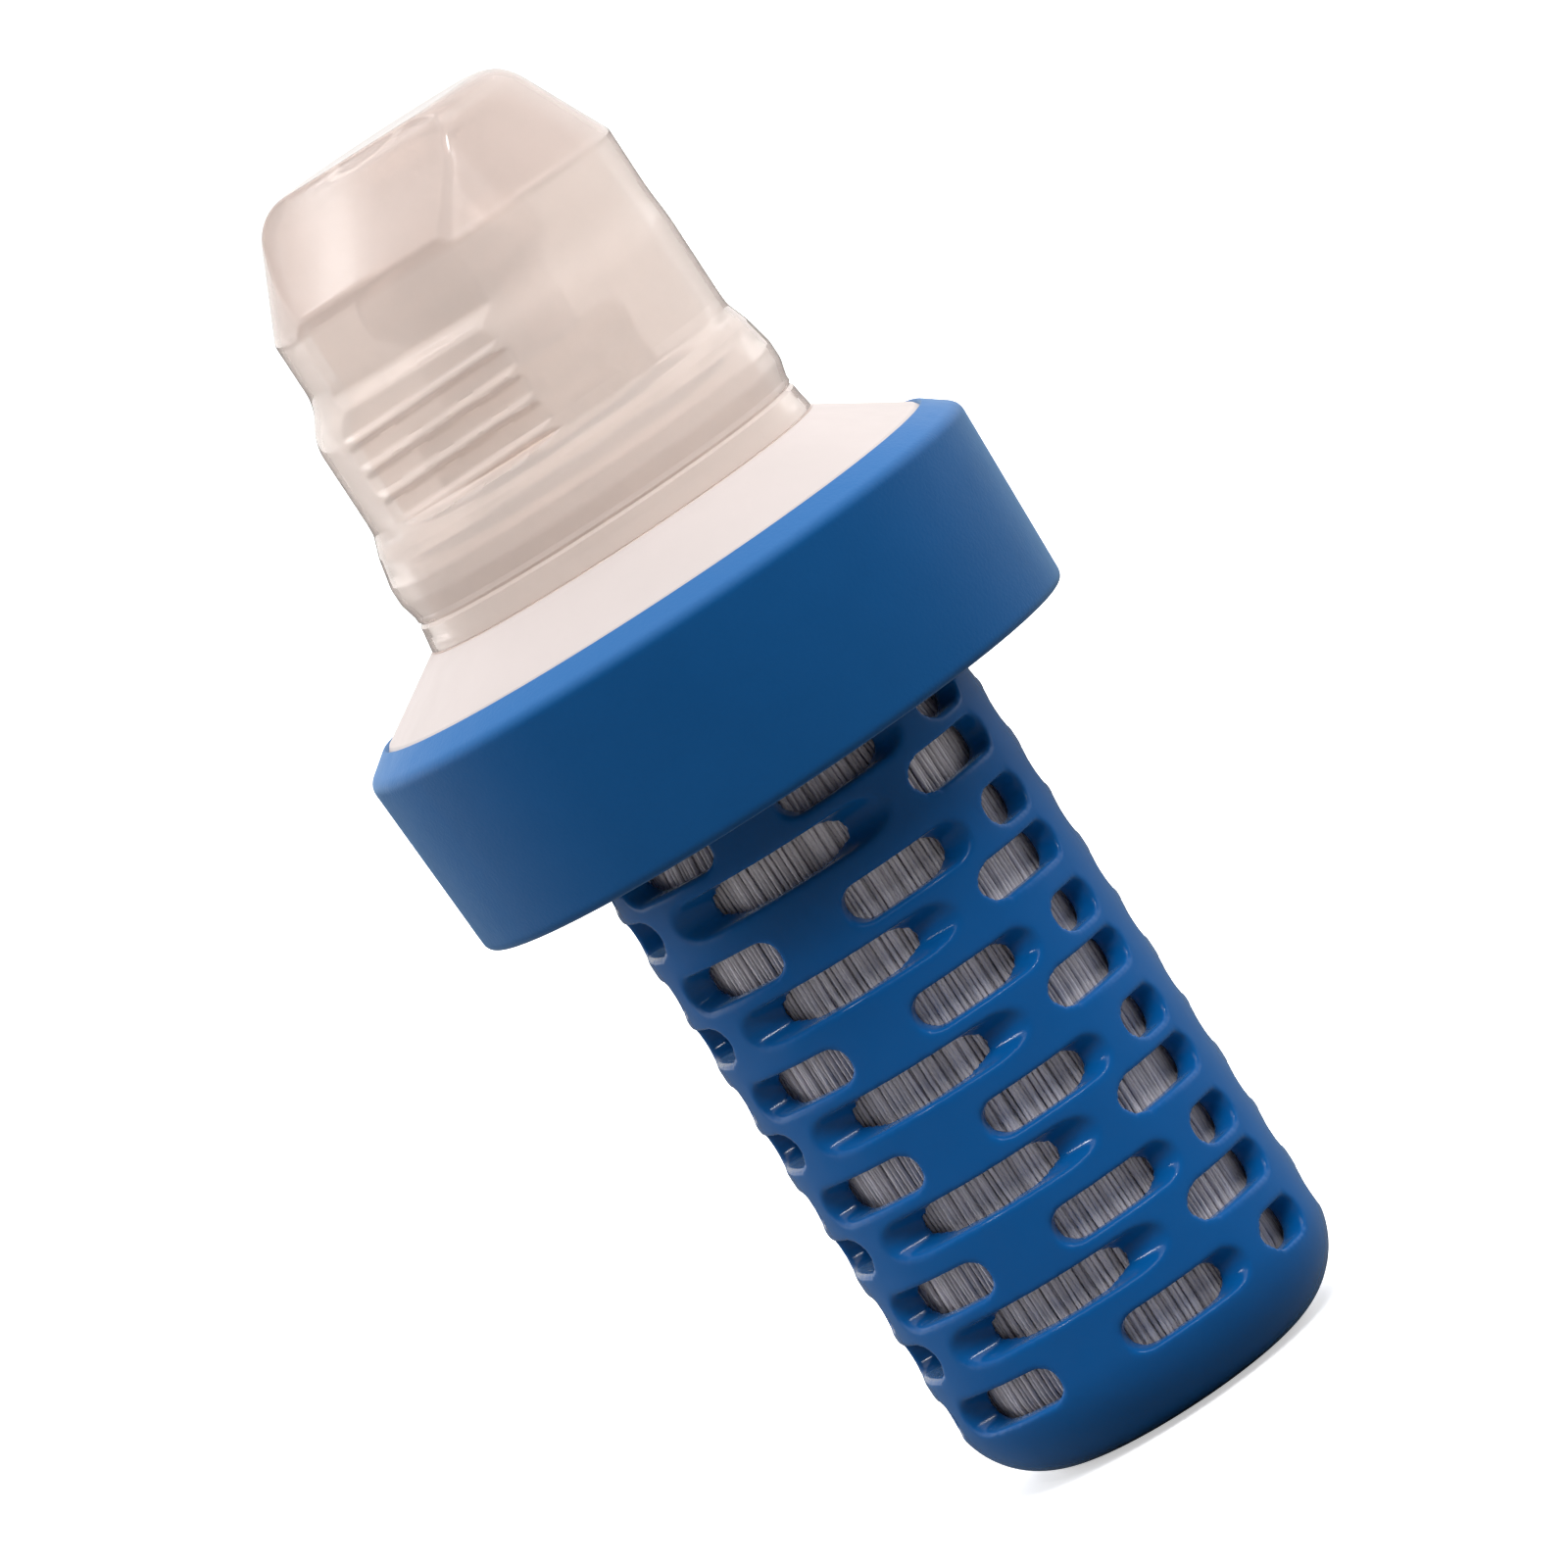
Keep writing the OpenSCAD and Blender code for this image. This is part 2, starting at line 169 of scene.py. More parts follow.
class Nodes:
    """Short names for building one material's nodes."""

    def __init__(self, name):
        self.material = bpy.data.materials.new(name)
        self.material.use_nodes = True
        self.tree = self.material.node_tree
        self.shader = self.tree.nodes["Principled BSDF"]
        self.place = self.add("ShaderNodeTexCoord").outputs["Object"]

    def add(self, kind, **settings):
        node = self.tree.nodes.new(kind)
        for key, value in settings.items():
            setattr(node, key, value)
        return node

    def link(self, output, target):
        self.tree.links.new(output, target)

    def set(self, **values):
        """Sets the shader's inputs, whose names have underscores here."""
        for key, value in values.items():
            socket = self.shader.inputs[key.replace("_", " ")]
            socket.default_value = (*value, 1) if isinstance(value, tuple) else value

    def noise(self, size, detail=3, stretch=(1, 1, 1)):
        """Noise whose grains measure about size millimetres."""
        mapping = self.add("ShaderNodeMapping")
        mapping.inputs["Scale"].default_value = stretch
        self.link(self.place, mapping.inputs["Vector"])
        noise = self.add("ShaderNodeTexNoise")
        noise.inputs["Scale"].default_value = 1 / (size * MM)
        noise.inputs["Detail"].default_value = detail
        self.link(mapping.outputs["Vector"], noise.inputs["Vector"])
        return noise.outputs["Fac"]

    def remap(self, value, low, high, from_low=0.3, from_high=0.7):
        """A value brought from one range to another; noise lies mostly between 0.3 and 0.7."""
        node = self.add("ShaderNodeMapRange")
        node.inputs["From Min"].default_value = from_low
        node.inputs["From Max"].default_value = from_high
        node.inputs["To Min"].default_value = low
        node.inputs["To Max"].default_value = high
        self.link(value, node.inputs["Value"])
        return node.outputs["Result"]

    def mix(self, share, first, second):
        """Mixes two colours, each given as numbers or as another node's output."""
        node = self.add("ShaderNodeMix", data_type="RGBA")
        self.link(share, node.inputs["Factor"])
        for socket, colour in ((node.inputs["A"], first), (node.inputs["B"], second)):
            if isinstance(colour, tuple):
                socket.default_value = (*colour, 1)
            else:
                self.link(colour, socket)
        return node.outputs["Result"]

    def above(self, height, soft):
        """0 below a height in millimetres and 1 above it, with a soft change between."""
        parts = self.add("ShaderNodeSeparateXYZ")
        self.link(self.place, parts.inputs["Vector"])
        return self.remap(parts.outputs["Z"], 0, 1, (height - soft) * MM, (height + soft) * MM)

    def bump(self, height, depth, below=None):
        """Bump of a depth in millimetres, on top of another bump if given."""
        node = self.add("ShaderNodeBump")
        node.inputs["Strength"].default_value = 1
        node.inputs["Distance"].default_value = depth * MM
        self.link(height, node.inputs["Height"])
        if below is not None:
            self.link(below, node.inputs["Normal"])
        return node.outputs["Normal"]

    def finish(self, colour, roughness, normal=None):
        """The material, with its colour, roughness and bumps linked."""
        self.link(colour, self.shader.inputs["Base Color"])
        self.link(roughness, self.shader.inputs["Roughness"])
        if normal is not None:
            self.link(normal, self.shader.inputs["Normal"])
        return self.material


def seen_directly(tree):
    """1 for rays from the camera and rays through a clear skin, 0 for the others."""
    path = tree.nodes.new("ShaderNodeLightPath")
    either = tree.nodes.new("ShaderNodeMath")
    either.operation = "MAXIMUM"
    tree.links.new(path.outputs["Is Camera Ray"], either.inputs[0])
    tree.links.new(path.outputs["Is Transmission Ray"], either.inputs[1])
    return either.outputs["Value"]


def moulded(name, colour, shade, roughness, grain, grain_depth, gloss=0.5, sheen=0, pale=None, painted_highlight_z=0):
    """Moulded plastic: cloudy colour, uneven gloss, fine grain and faint flow waves.

    Above a given height it takes the colour pale, if that is given: a painted highlight, lighter where the
    light from above falls on a top edge.
    """
    n = Nodes(name)
    n.set(IOR=1.48, Specular_IOR_Level=gloss)
    n.set(Sheen_Weight=sheen, Sheen_Roughness=0.4, Sheen_Tint=(0.5, 0.75, 0.95))
    tone = n.mix(n.remap(n.noise(9, 4), 0, 1), colour, shade)
    # painted highlight: a lighter colour above a height, where the light falls from above
    if pale:
        tone = n.mix(n.above(painted_highlight_z, 0.5), tone, pale)
    waves = n.bump(n.noise(5, 1), 0.05)
    return n.finish(
        tone,
        n.remap(n.noise(2.5, 5), roughness - 0.06, roughness + 0.06),
        n.bump(n.noise(grain, 2), grain_depth, waves),
    )


def clear_plastic(name):
    """Clear moulded plastic, slightly hazy and warm, with a polished skin. Lamps reach what is inside."""
    n = Nodes(name)
    n.set(IOR=1.24, Transmission_Weight=0.58, Coat_Weight=0.35, Coat_Roughness=0.05, Coat_IOR=1.5)
    n.set(Sheen_Weight=0.08, Sheen_Roughness=0.3, Sheen_Tint=(0.95, 0.88, 0.85))
    waves = n.bump(n.noise(3.2, 2), 0.006)
    cloud = n.remap(n.noise(7, 3), 0, 1)
    body = n.mix(cloud, (0.724, 0.663, 0.629), (0.704, 0.644, 0.61))
    # painted shade: the cone and facet above the shoulder get a darker colour to even out the light that
    # falls on them from above
    top = n.mix(cloud, (0.627, 0.555, 0.521), (0.608, 0.536, 0.502))
    material = n.finish(
        n.mix(n.above(SHOULDER_Z, 0.6), body, top),
        n.remap(n.noise(4, 4), 0.04, 0.09),
        n.bump(n.noise(0.5, 2), 0.003, waves),
    )
    lamps_through(n, (0.9, 0.84, 0.81))
    return material


def lamps_through(n, tint):
    """Lets light from lamps pass a clear skin, with a tint."""
    open_way = n.add("ShaderNodeBsdfTransparent")
    open_way.inputs["Color"].default_value = (*tint, 1)
    mix = n.add("ShaderNodeMixShader")
    n.link(n.add("ShaderNodeLightPath").outputs["Is Shadow Ray"], mix.inputs["Fac"])
    n.link(n.shader.outputs["BSDF"], mix.inputs[1])
    n.link(open_way.outputs["BSDF"], mix.inputs[2])
    n.link(mix.outputs["Shader"], n.tree.nodes["Material Output"].inputs["Surface"])


def cap_plastic(name):
    """White moulded cap; its neck and seat above the cone are a darker beige and a little translucent."""
    n = Nodes(name)
    n.set(IOR=1.45)
    beige_part = n.above(CONE_TOP_Z, 0.02)
    cloud = n.remap(n.noise(8, 4), 0, 1)
    white = n.mix(cloud, (0.54, 0.483, 0.47), (0.516, 0.463, 0.449))
    beige = n.mix(cloud, (0.6, 0.5, 0.44), (0.56, 0.465, 0.41))
    n.link(n.remap(beige_part, 0, 0.4, 0, 1), n.shader.inputs["Transmission Weight"])
    return n.finish(
        n.mix(beige_part, white, beige),
        n.remap(n.noise(2.5, 5), 0.38, 0.5),
        n.bump(n.noise(0.6, 2), 0.006, n.bump(n.noise(5, 1), 0.04)),
    )


def milky_plastic(name, colour, transmission, roughness):
    """Soft, cloudy plastic of the nozzle and its retainer."""
    n = Nodes(name)
    n.set(IOR=1.2, Transmission_Weight=transmission, Coat_Weight=0.5, Coat_Roughness=0.08)
    shade = tuple(0.93 * part for part in colour)
    return n.finish(
        n.mix(n.remap(n.noise(3, 3), 0, 1), colour, shade),
        n.remap(n.noise(1.5, 4), roughness - 0.05, roughness + 0.08),
        n.bump(n.noise(0.6, 2), 0.01),
    )


def fibre_skin(name):
    """Glossy hollow fibre: each strand a little different, with faint streaks along it."""
    n = Nodes(name)
    n.set(IOR=1.5, Coat_Weight=0.4, Coat_Roughness=0.1)
    strand = n.add("ShaderNodeNewGeometry").outputs["Random Per Island"]
    ramp = n.add("ShaderNodeValToRGB")
    stops = ramp.color_ramp.elements
    stops[0].position, stops[0].color = 0.0, (0.56, 0.53, 0.57, 1)
    stops[1].position, stops[1].color = 1.0, (0.9, 0.86, 0.92, 1)
    middle = stops.new(0.6)
    middle.color = (0.76, 0.73, 0.77, 1)
    n.link(strand, ramp.inputs["Fac"])
    return n.finish(
        ramp.outputs["Color"],
        n.remap(n.noise(0.8, 3, (1, 1, 0.3)), 0.22, 0.42),
        n.bump(n.noise(0.25, 2, (1, 1, 0.4)), 0.02),
    )


def rubber(name, colour, roughness):
    """Seal rubber, faintly mottled and grained."""
    n = Nodes(name)
    n.set(IOR=1.5)
    shade = tuple(0.85 * part for part in colour)
    return n.finish(
        n.mix(n.remap(n.noise(2, 3), 0, 1), colour, shade),
        n.remap(n.noise(0.7, 4), roughness - 0.08, roughness + 0.08),
        n.bump(n.noise(0.15, 2), 0.008),
    )


def resin_skin(name):
    """Cast resin, a little cloudy, dotted with the cut ends of the fibres."""
    n = Nodes(name)
    n.set(IOR=1.52, Coat_Weight=0.3)
    cells = n.add("ShaderNodeTexVoronoi")
    cells.inputs["Scale"].default_value = 1 / (0.36 * MM)
    n.link(n.place, cells.inputs["Vector"])
    dots = n.remap(cells.outputs["Distance"], 0, 1, 0.2, 0.45)
    return n.finish(
        n.mix(dots, (0.78, 0.74, 0.66), (0.55, 0.46, 0.27)),
        n.remap(n.noise(1.2, 3), 0.2, 0.34),
        n.bump(dots, 0.03),
    )


# ---------------------------------------------------------------- pieces


def finish_piece(piece, material, body, slot, *nodes):
    """Gives a piece its material and its body, and hides the nodes it stands for; slot is not used."""
    piece.data.materials.clear()
    piece.data.materials.append(material)
    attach(piece, body)
    if nodes:
        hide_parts(*nodes)


CAGE_VOXEL = 0.2
CAGE_SMOOTHING = 14


def make_cage(material):
    """The slotted cage, with the soft edges of a moulding."""
    piece = softened_copy("filter_cage", "cage_shell", CAGE_VOXEL, CAGE_SMOOTHING)
    finish_piece(piece, material, "cartridge", "cage_blue", "filter_cage")


GRIP_TAPER = 0.6  # how much narrower the ring is at its foot
GRIP_EDGE = 1.75  # height of the shoulder under the ring's top
GRIP_LIP = 1.0  # how far the ring reaches under the skirt, and how thick it is there
GRIP_LIP_H = 0.62


def make_grip(material):
    """The matt grip ring, widest just under its rounded shoulder."""
    low, high = GRIP_LOW.z, GRIP_HIGH.z
    outline = rounded(
        [
            (SKIRT_R - GRIP_LIP, low, 0.15),
            (GRIP_R - GRIP_TAPER, low, 0.9),
            (GRIP_R, high - GRIP_EDGE, 1.3),
            (SKIRT_R + 0.2, high, 0.2),
            (SKIRT_R, high - 0.4, 0.05),
            (SKIRT_R, low + GRIP_LIP_H, 0.05),
            (SKIRT_R - GRIP_LIP, low + GRIP_LIP_H, 0.15),
        ],
        steps=8,
    )
    piece = lathe("grip_ring", outline, columns=320, sharp_deg=60)
    finish_piece(piece, material, "spout", "grip_blue", "grip_collar")


# Fibres: thin tubes that hang straight, wander a little and turn up in a loop
FIBRE_R = 0.19
FIBRE_PITCH = 0.39
FIBRE_SIDES = 6
LAYER_STEP = 0.35
LOOP_R = 2.3
WANDER = 0.06  # how far a strand strays to either side of its layer
NECK_H = 3.4  # height of the stretch in which a hank narrows towards the resin
NECK_SQUEEZE = 0.13


def fibre_path(angle, radius, rng):
    """Points of one fibre, from the resin down and round its loop, and the direction square to it."""
    low, high = HANK_LOW.z + FIBRE_R, HANK_HIGH.z
    loop = min(LOOP_R, radius * 0.45)
    straight = np.linspace(high, low + loop, 20)
    sway = rng.uniform(0.02, 0.1)
    length = rng.uniform(14, 30)
    phase = rng.uniform(0, 2 * math.pi)
    side = sway * np.sin(2 * math.pi * straight / length + phase)
    inward = WANDER * np.sin(2 * math.pi * straight / (0.7 * length) + 2 * phase)
    squeeze = 1 - NECK_SQUEEZE * np.clip((straight - (high - NECK_H)) / NECK_H, 0, 1)
    r = (radius - WANDER + inward) * squeeze
    turn = np.radians(np.linspace(15, 170, 9))
    r_loop = radius - WANDER + inward[-1] - loop * (1 - np.cos(turn))
    z_loop = low + loop - loop * np.sin(turn)
    r_all = np.concatenate([r, r_loop])
    z_all = np.concatenate([straight, z_loop])
    side_all = np.concatenate([side, np.full(len(turn), side[-1])])
    across = np.array([-math.sin(angle), math.cos(angle)])
    out = np.array([math.cos(angle), math.sin(angle)])
    flat = r_all[:, None] * out + side_all[:, None] * across
    return np.column_stack([flat, z_all]), np.array([*across, 0])


def tube(points, across, radius, sides):
    """Verts and faces of a closed tube along points that lie in a plane square to across."""
    tangents = np.gradient(points, axis=0)
    tangents /= np.linalg.norm(tangents, axis=1)[:, None]
    normals = np.cross(across, tangents)
    normals /= np.linalg.norm(normals, axis=1)[:, None]
    turn = np.linspace(0, 2 * math.pi, sides, endpoint=False)
    rings = points[:, None, :] + radius * (
        np.cos(turn)[None, :, None] * normals[:, None, :] + np.sin(turn)[None, :, None] * across
    )
    rows = len(points)
    faces = []
    for i in range(rows - 1):
        for j in range(sides):
            k = (j + 1) % sides
            faces.append((i * sides + j, i * sides + k, (i + 1) * sides + k, (i + 1) * sides + j))
    faces.append(tuple(range(sides))[::-1])
    faces.append(tuple((rows - 1) * sides + j for j in range(sides)))
    return rings.reshape(-1, 3), faces


def make_hank(name, node, start, end, radius, layers, seed, material):
    """A hank of fibres between two angles, in layers from its outside inwards."""
    rng = np.random.default_rng(seed)
    verts, faces, count = [], [], 0
    for layer in range(layers):
        layer_r = radius - FIBRE_R - layer * LAYER_STEP
        number = int((end - start) * layer_r / FIBRE_PITCH)
        for i in range(number):
            angle = start + (i + 0.5 * (layer % 2) + rng.uniform(0.3, 0.7)) * (end - start) / number
            strand_r = FIBRE_R * rng.uniform(0.9, 1.1)
            points, across = fibre_path(angle, layer_r + rng.uniform(-0.06, 0.03), rng)
            part, part_faces = tube(points, across, strand_r, FIBRE_SIDES)
            verts.append(part)
            faces.extend(tuple(v + count for v in face) for face in part_faces)
            count += len(part)
    piece = new_piece(name, np.concatenate(verts), faces, 80)
    finish_piece(piece, material, "cartridge", "fibre", node)


def make_fibres(material):
    """The hank in the middle, the hanks around it, and a fluted mass for the strands behind them."""
    outer = sorted(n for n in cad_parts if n.startswith("fibre_hank_") and n[-1].isdigit())
    bundle_r = max(abs(node_box(node)[0].x) for node in outer)
    core_r = HANK_HIGH.x
    step = 2 * math.pi / len(outer)
    make_hank("fibres_core", "fibre_hank_core", 0, 2 * math.pi, core_r, 2, 7, material)
    for i, node in enumerate(outer):
        make_hank(f"fibres_{i + 1}", node, i * step, (i + 1) * step, bundle_r, 3, 20 + i, material)
    mass_r, mass_z = core_r + 0.3, HANK_LOW.z + 2.6
    outline = [
        (mass_r, mass_z, 1),
        (bundle_r - 3.2, mass_z, 1),
        (bundle_r - 1.2, mass_z + 1.8, 1),
        (bundle_r - 1.2, HANK_HIGH.z - NECK_H, 1),
        (bundle_r - 2.7, HANK_HIGH.z, 0),
        (mass_r, HANK_HIGH.z, 0),
    ]
    columns = 180
    piece = lathe("fibres_inner", rounded(outline), columns, sharp_deg=80)
    flute(piece, columns, 0.12)
    finish_piece(piece, material, "cartridge", "fibre")


def flute(piece, columns, depth):
    """Presses upright grooves into a lathed piece."""
    for i, vert in enumerate(piece.data.vertices):
        if i % columns % 2:
            share = 1 - depth * MM / max(vert.co.xy.length, MM)
            vert.co.x *= share
            vert.co.y *= share


# Dust cap: turned outlines, then a thumb panel and a slanting facet cut from them
DUST_TURN = math.radians(-13)
DUST_COLUMNS = 420
DUST_SPACING = 0.2
DUST_WALL = 1.5
FOOT_R = 14.8  # inside of the base ring, and the heights between which it narrows to the body's
FOOT_Z0 = 82.2
FOOT_Z1 = 83.2
BODY_R = 15.25
UPPER_R = 14.4
UPPER_SHIFT = 0.65  # how far the upper part stands off the axis, and in which direction
SHIFT_TURN = math.radians(30)
LEDGE_Z = 92.4
LEDGE_H = 2.3
SHOULDER_Z = 99.9
CONE_RUN = 0.481
PANEL_Z0 = 84.6
PANEL_D = 13.1  # distance of the panel from the axis, under the ledge and over it
UPPER_PANEL_D = 12.0
PANEL_EDGE = 260  # how sharp the edges of the panel and the facet are
FACET_EDGE = 220
FACET_Z0 = 100.7
FACET_RUN = 0.919
FACET_SLOPE = math.atan(FACET_RUN)
FACET_CENTRE = np.array([0.0, 0.0, 95.0])  # the point towards which the facet is pressed
RIB_ZS = [84.9 + 2.25 * i for i in range(4)]
RIB_RISE = math.tan(math.radians(2))
RIB_HEIGHT = 0.5
RIB_HALF = 0.36


def dense(outline, spacing):
    """An open outline with points no further apart than spacing."""
    points = [outline[0]]
    for (r0, z0), (r1, z1) in zip(outline, outline[1:]):
        steps = max(1, math.ceil(math.hypot(r1 - r0, z1 - z0) / spacing))
        points += [(r0 + (r1 - r0) * i / steps, z0 + (z1 - z0) * i / steps) for i in range(1, steps + 1)]
    return points


def dust_foot():
    """Corners of the base ring's outside, with the parting line at its waist."""
    low, ring_r = DUST_LOW.z, DUST_HIGH.x
    return [
        (FOOT_R, low, 0),
        (ring_r, low, 0.15),
        (ring_r - 0.2, low + 1.2, 0.6),
        (ring_r - 0.3, low + 1.95, 0.1),
        (ring_r - 0.52, low + 2.2, 0.06),
        (ring_r - 0.34, low + 2.4, 0.1),
        (ring_r - 0.34, low + 2.8, 0.4),
        (ring_r, low + 4.1, 2),
        (ring_r, low + 5.5, 2),
        (ring_r - 0.5, low + 7.8, 1.5),
        (BODY_R + 0.05, PANEL_Z0, 1.2),
        (BODY_R, PANEL_Z0 + 1, 0.8),
    ]


def dust_outline(inset, spacing):
    """The turned outline of a skin, from the base ring's lower edge up to the axis."""
    body_r, upper_r = BODY_R - inset, UPPER_R - inset
    if inset:
        foot = [(FOOT_R, DUST_LOW.z, 0), (FOOT_R, FOOT_Z0, 0.5), (body_r, FOOT_Z1, 0.8)]
    else:
        foot = dust_foot()
    ledge = [(body_r, LEDGE_Z, 9.0), (upper_r, LEDGE_Z + LEDGE_H, 7.0)]
    cone_z = SHOULDER_Z - inset * math.tan(0.5 * math.atan(CONE_RUN))
    top = DUST_HIGH.z - inset
    top_r = upper_r - CONE_RUN * (top - cone_z)
    corners = foot + ledge + [(upper_r, cone_z, 1.2), (top_r, top, 4 - inset), (0.0, top, 0)]
    # The rounding treats the outline as closed, so its two ends stay sharp
    return dense(rounded(corners, 8), spacing)


def smooth_step(value, start, end):
    """0 before start, 1 after end and a smooth rise between them."""
    share = np.clip((value - start) / (end - start), 0, 1)
    return share * share * (3 - 2 * share)


def rib_height(across, z):
    """How far the thumb panel's ribs stand out at a point of the panel."""
    level = z - RIB_RISE * across
    height = np.zeros_like(level)
    for rib_z in RIB_ZS:
        height = np.maximum(height, RIB_HEIGHT * np.exp(-(((level - rib_z) / RIB_HALF) ** 4)))
    return height


def soft_cut(share, edge):
    """By how much to shrink a distance so that it stays within its limit; share is distance over limit."""
    return (1 + np.maximum(share, 1e-6) ** edge) ** (-1 / edge)


def press_panel(x, y, z, inset):
    """Presses the flat thumb panel, with its ribs, into the front of a skin."""
    step = (PANEL_D - UPPER_PANEL_D) * smooth_step(z, LEDGE_Z + 1.0, LEDGE_Z + 2.6)
    runout = 4 * (1 - smooth_step(z, PANEL_Z0 - 1.0, PANEL_Z0 + 0.1))
    depth = PANEL_D - inset - step + runout
    if not inset:
        depth = depth + rib_height(x, z)
    scale = soft_cut(np.maximum(-y, 0) / depth, PANEL_EDGE)
    return np.stack([x * scale, y * scale, z], axis=-1)


def press_facet(points, inset):
    """Presses the slanting facet above the panel into a skin."""
    normal = np.array([0, -math.cos(FACET_SLOPE), math.sin(FACET_SLOPE)])
    reach = float((np.array([0, -UPPER_PANEL_D, FACET_Z0]) - FACET_CENTRE) @ normal) - inset
    from_centre = points - FACET_CENTRE
    share = np.where(points[..., 2] > LEDGE_Z, np.maximum(from_centre @ normal, 0) / reach, 0)
    return FACET_CENTRE + from_centre * soft_cut(share, FACET_EDGE)[..., None]


def dust_skin(inset, spacing):
    """Rows of points of the cap's outer or inner skin."""
    outline = np.array(dust_outline(inset, spacing))
    turn = np.linspace(0, 2 * math.pi, DUST_COLUMNS, endpoint=False)
    r, z = outline[:, :1], outline[:, 1:]
    narrowed = np.clip((BODY_R - inset - r) / (BODY_R - UPPER_R), 0, 1)
    shift = UPPER_SHIFT * np.where(z > PANEL_Z0 + 2, narrowed, 0) * np.clip(r / 10, 0, 1)
    x = r * np.cos(turn) + shift * math.cos(SHIFT_TURN)
    y = r * np.sin(turn) + shift * math.sin(SHIFT_TURN)
    return press_facet(press_panel(x, y, np.broadcast_to(z, x.shape), inset), inset)


def skin_faces(first, rows, tip):
    """Faces of a skin whose points start at number first: quads, then triangles that meet at the tip."""
    faces = []
    for i in range(rows):
        for j in range(DUST_COLUMNS):
            k = (j + 1) % DUST_COLUMNS
            low = first + i * DUST_COLUMNS
            high = low + DUST_COLUMNS
            above = (high + k, high + j) if i < rows - 1 else (tip,)
            faces.append((low + j, low + k, *above))
    return faces


def make_dust_cap(material):
    """The clear cap as one closed wall: outer skin, inner skin and the rim that joins them."""
    verts, faces, starts = [], [], []
    for inset, spacing in ((0, DUST_SPACING), (DUST_WALL, 0.5)):
        skin = dust_skin(inset, spacing)
        starts.append(len(verts))
        verts += skin[:-1].reshape(-1, 3).tolist()
        faces += skin_faces(starts[-1], len(skin) - 1, len(verts))
        verts.append(skin[-1][0].tolist())
    outer, inner = starts
    for j in range(DUST_COLUMNS):
        k = (j + 1) % DUST_COLUMNS
        faces.append((outer + j, inner + j, inner + k, outer + k))
    cos, sin = math.cos(DUST_TURN), math.sin(DUST_TURN)
    turned = [(x * cos - y * sin, x * sin + y * cos, z) for x, y, z in verts]
    piece = new_piece("clear_cap", turned, faces, 50)
    facing_out(piece)
    finish_piece(piece, material, "dust_cap", "clear_plastic", "dust_cap")


def dress_nodes(materials):
    """Gives the CAD nodes that stay in view their materials."""
    for node, key in {
        "spout_body": "cap_white",
        "potting_resin": "resin",
        "cartridge_head": "head",
        "head_o_ring_lower": "black_rubber",
        "head_o_ring_upper": "black_rubber",
        "flask_gasket": "silicone",
        "valve_core": "head",
        "nozzle_retainer": "retainer",
        "nozzle": "nozzle",
        "nozzle_o_ring": "black_rubber",
        "cap_seal": "silicone",
    }.items():
        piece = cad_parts[node]
        for slot in piece.material_slots:
            slot.material = materials[key]


# ------------------------------------------------------------ the studio

CAMERA_AZIMUTH = math.radians(17.3)
CAMERA_ELEVATION = math.radians(5.6)
CAMERA_ROLL = math.radians(33.25)
CAMERA_DISTANCE = 0.87
CAMERA_TARGET = Vector((-0.0003, -0.0001, 0.05314))
FRAME_WIDTH = 0.1138  # what the picture spans at the object

# Where each lamp stands, or where its light comes from: right of the camera's view, ahead of it, and up
KEY_FROM = (0.17, -0.58, 0.8)
KEY_POWER = 2.7
GLINTS_FROM = {"glint_left": (-0.46, -0.45, 0.76), "glint_right": (0.5, -0.45, 0.76)}
GLINT_POWER = 0.22
SKY_FROM = (0.1, -0.2, 1)
SKY_POWER = 1.0
SIDES = {"left": ((-0.8, 0.34, 0.14), 10.0), "right": ((0.8, 0.34, 0.16), 9.0)}
SIDE_SIZE = (0.8, 0.9)
STRIP_SIZE = (0.005, 0.05)
STRIP_AWAY = 0.6
STRIP_POWER = 0.008
STUDIO_WHITE = (1, 0.985, 0.97)
FRONT_FILL = 0.1  # how bright the studio is on the camera's side, and on the far side
BACK_FILL = 0.95
FLOOR_SIZE = 120000.0
FLOOR_DROP = 0.02
FLOOR_BOUNCE = (0.28, 0.27, 0.26)
FLOOR_IN_GLOSS = (0.08, 0.08, 0.08)
FLOOR_GLOW = 0.5


def make_stage():
    """A wide pale floor just under the cage. It lights and mirrors in the object less than it shows."""
    edge = FLOOR_SIZE / 2
    corners = [(x * edge, y * edge, -FLOOR_DROP) for x, y in ((-1, -1), (1, -1), (1, 1), (-1, 1))]
    floor = new_piece("floor", corners, [(0, 1, 2, 3)])
    n = Nodes("pale_floor")
    n.set(Specular_IOR_Level=0.0, Emission_Color=(1.0, 1.0, 1.0))
    pale = n.mix(n.noise(40, 2), (0.94, 0.94, 0.94), (0.96, 0.96, 0.96))
    in_gloss = n.add("ShaderNodeLightPath").outputs["Is Glossy Ray"]
    dim = n.mix(in_gloss, FLOOR_BOUNCE, FLOOR_IN_GLOSS)
    seen = seen_directly(n.tree)
    n.link(n.remap(seen, 0, FLOOR_GLOW, 0, 1), n.shader.inputs["Emission Strength"])
    floor.data.materials.append(n.finish(n.mix(seen, dim, pale), n.remap(n.noise(8, 3), 0.7, 0.9)))


def area_light(name, place, target, size, power, mirrored=True):
    """A rectangular soft light; place and target are in metres."""
    data = bpy.data.lights.new(name, "AREA")
    data.shape = "RECTANGLE"
    data.size, data.size_y = size
    data.energy = power
    light = bpy.data.objects.new(name, data)
    light.visible_glossy = mirrored
    light.visible_transmission = mirrored
    light.location = place
    light.rotation_euler = (Vector(target) - Vector(place)).to_track_quat("-Z", "Y").to_euler()
    bpy.context.scene.collection.objects.link(light)
    return light


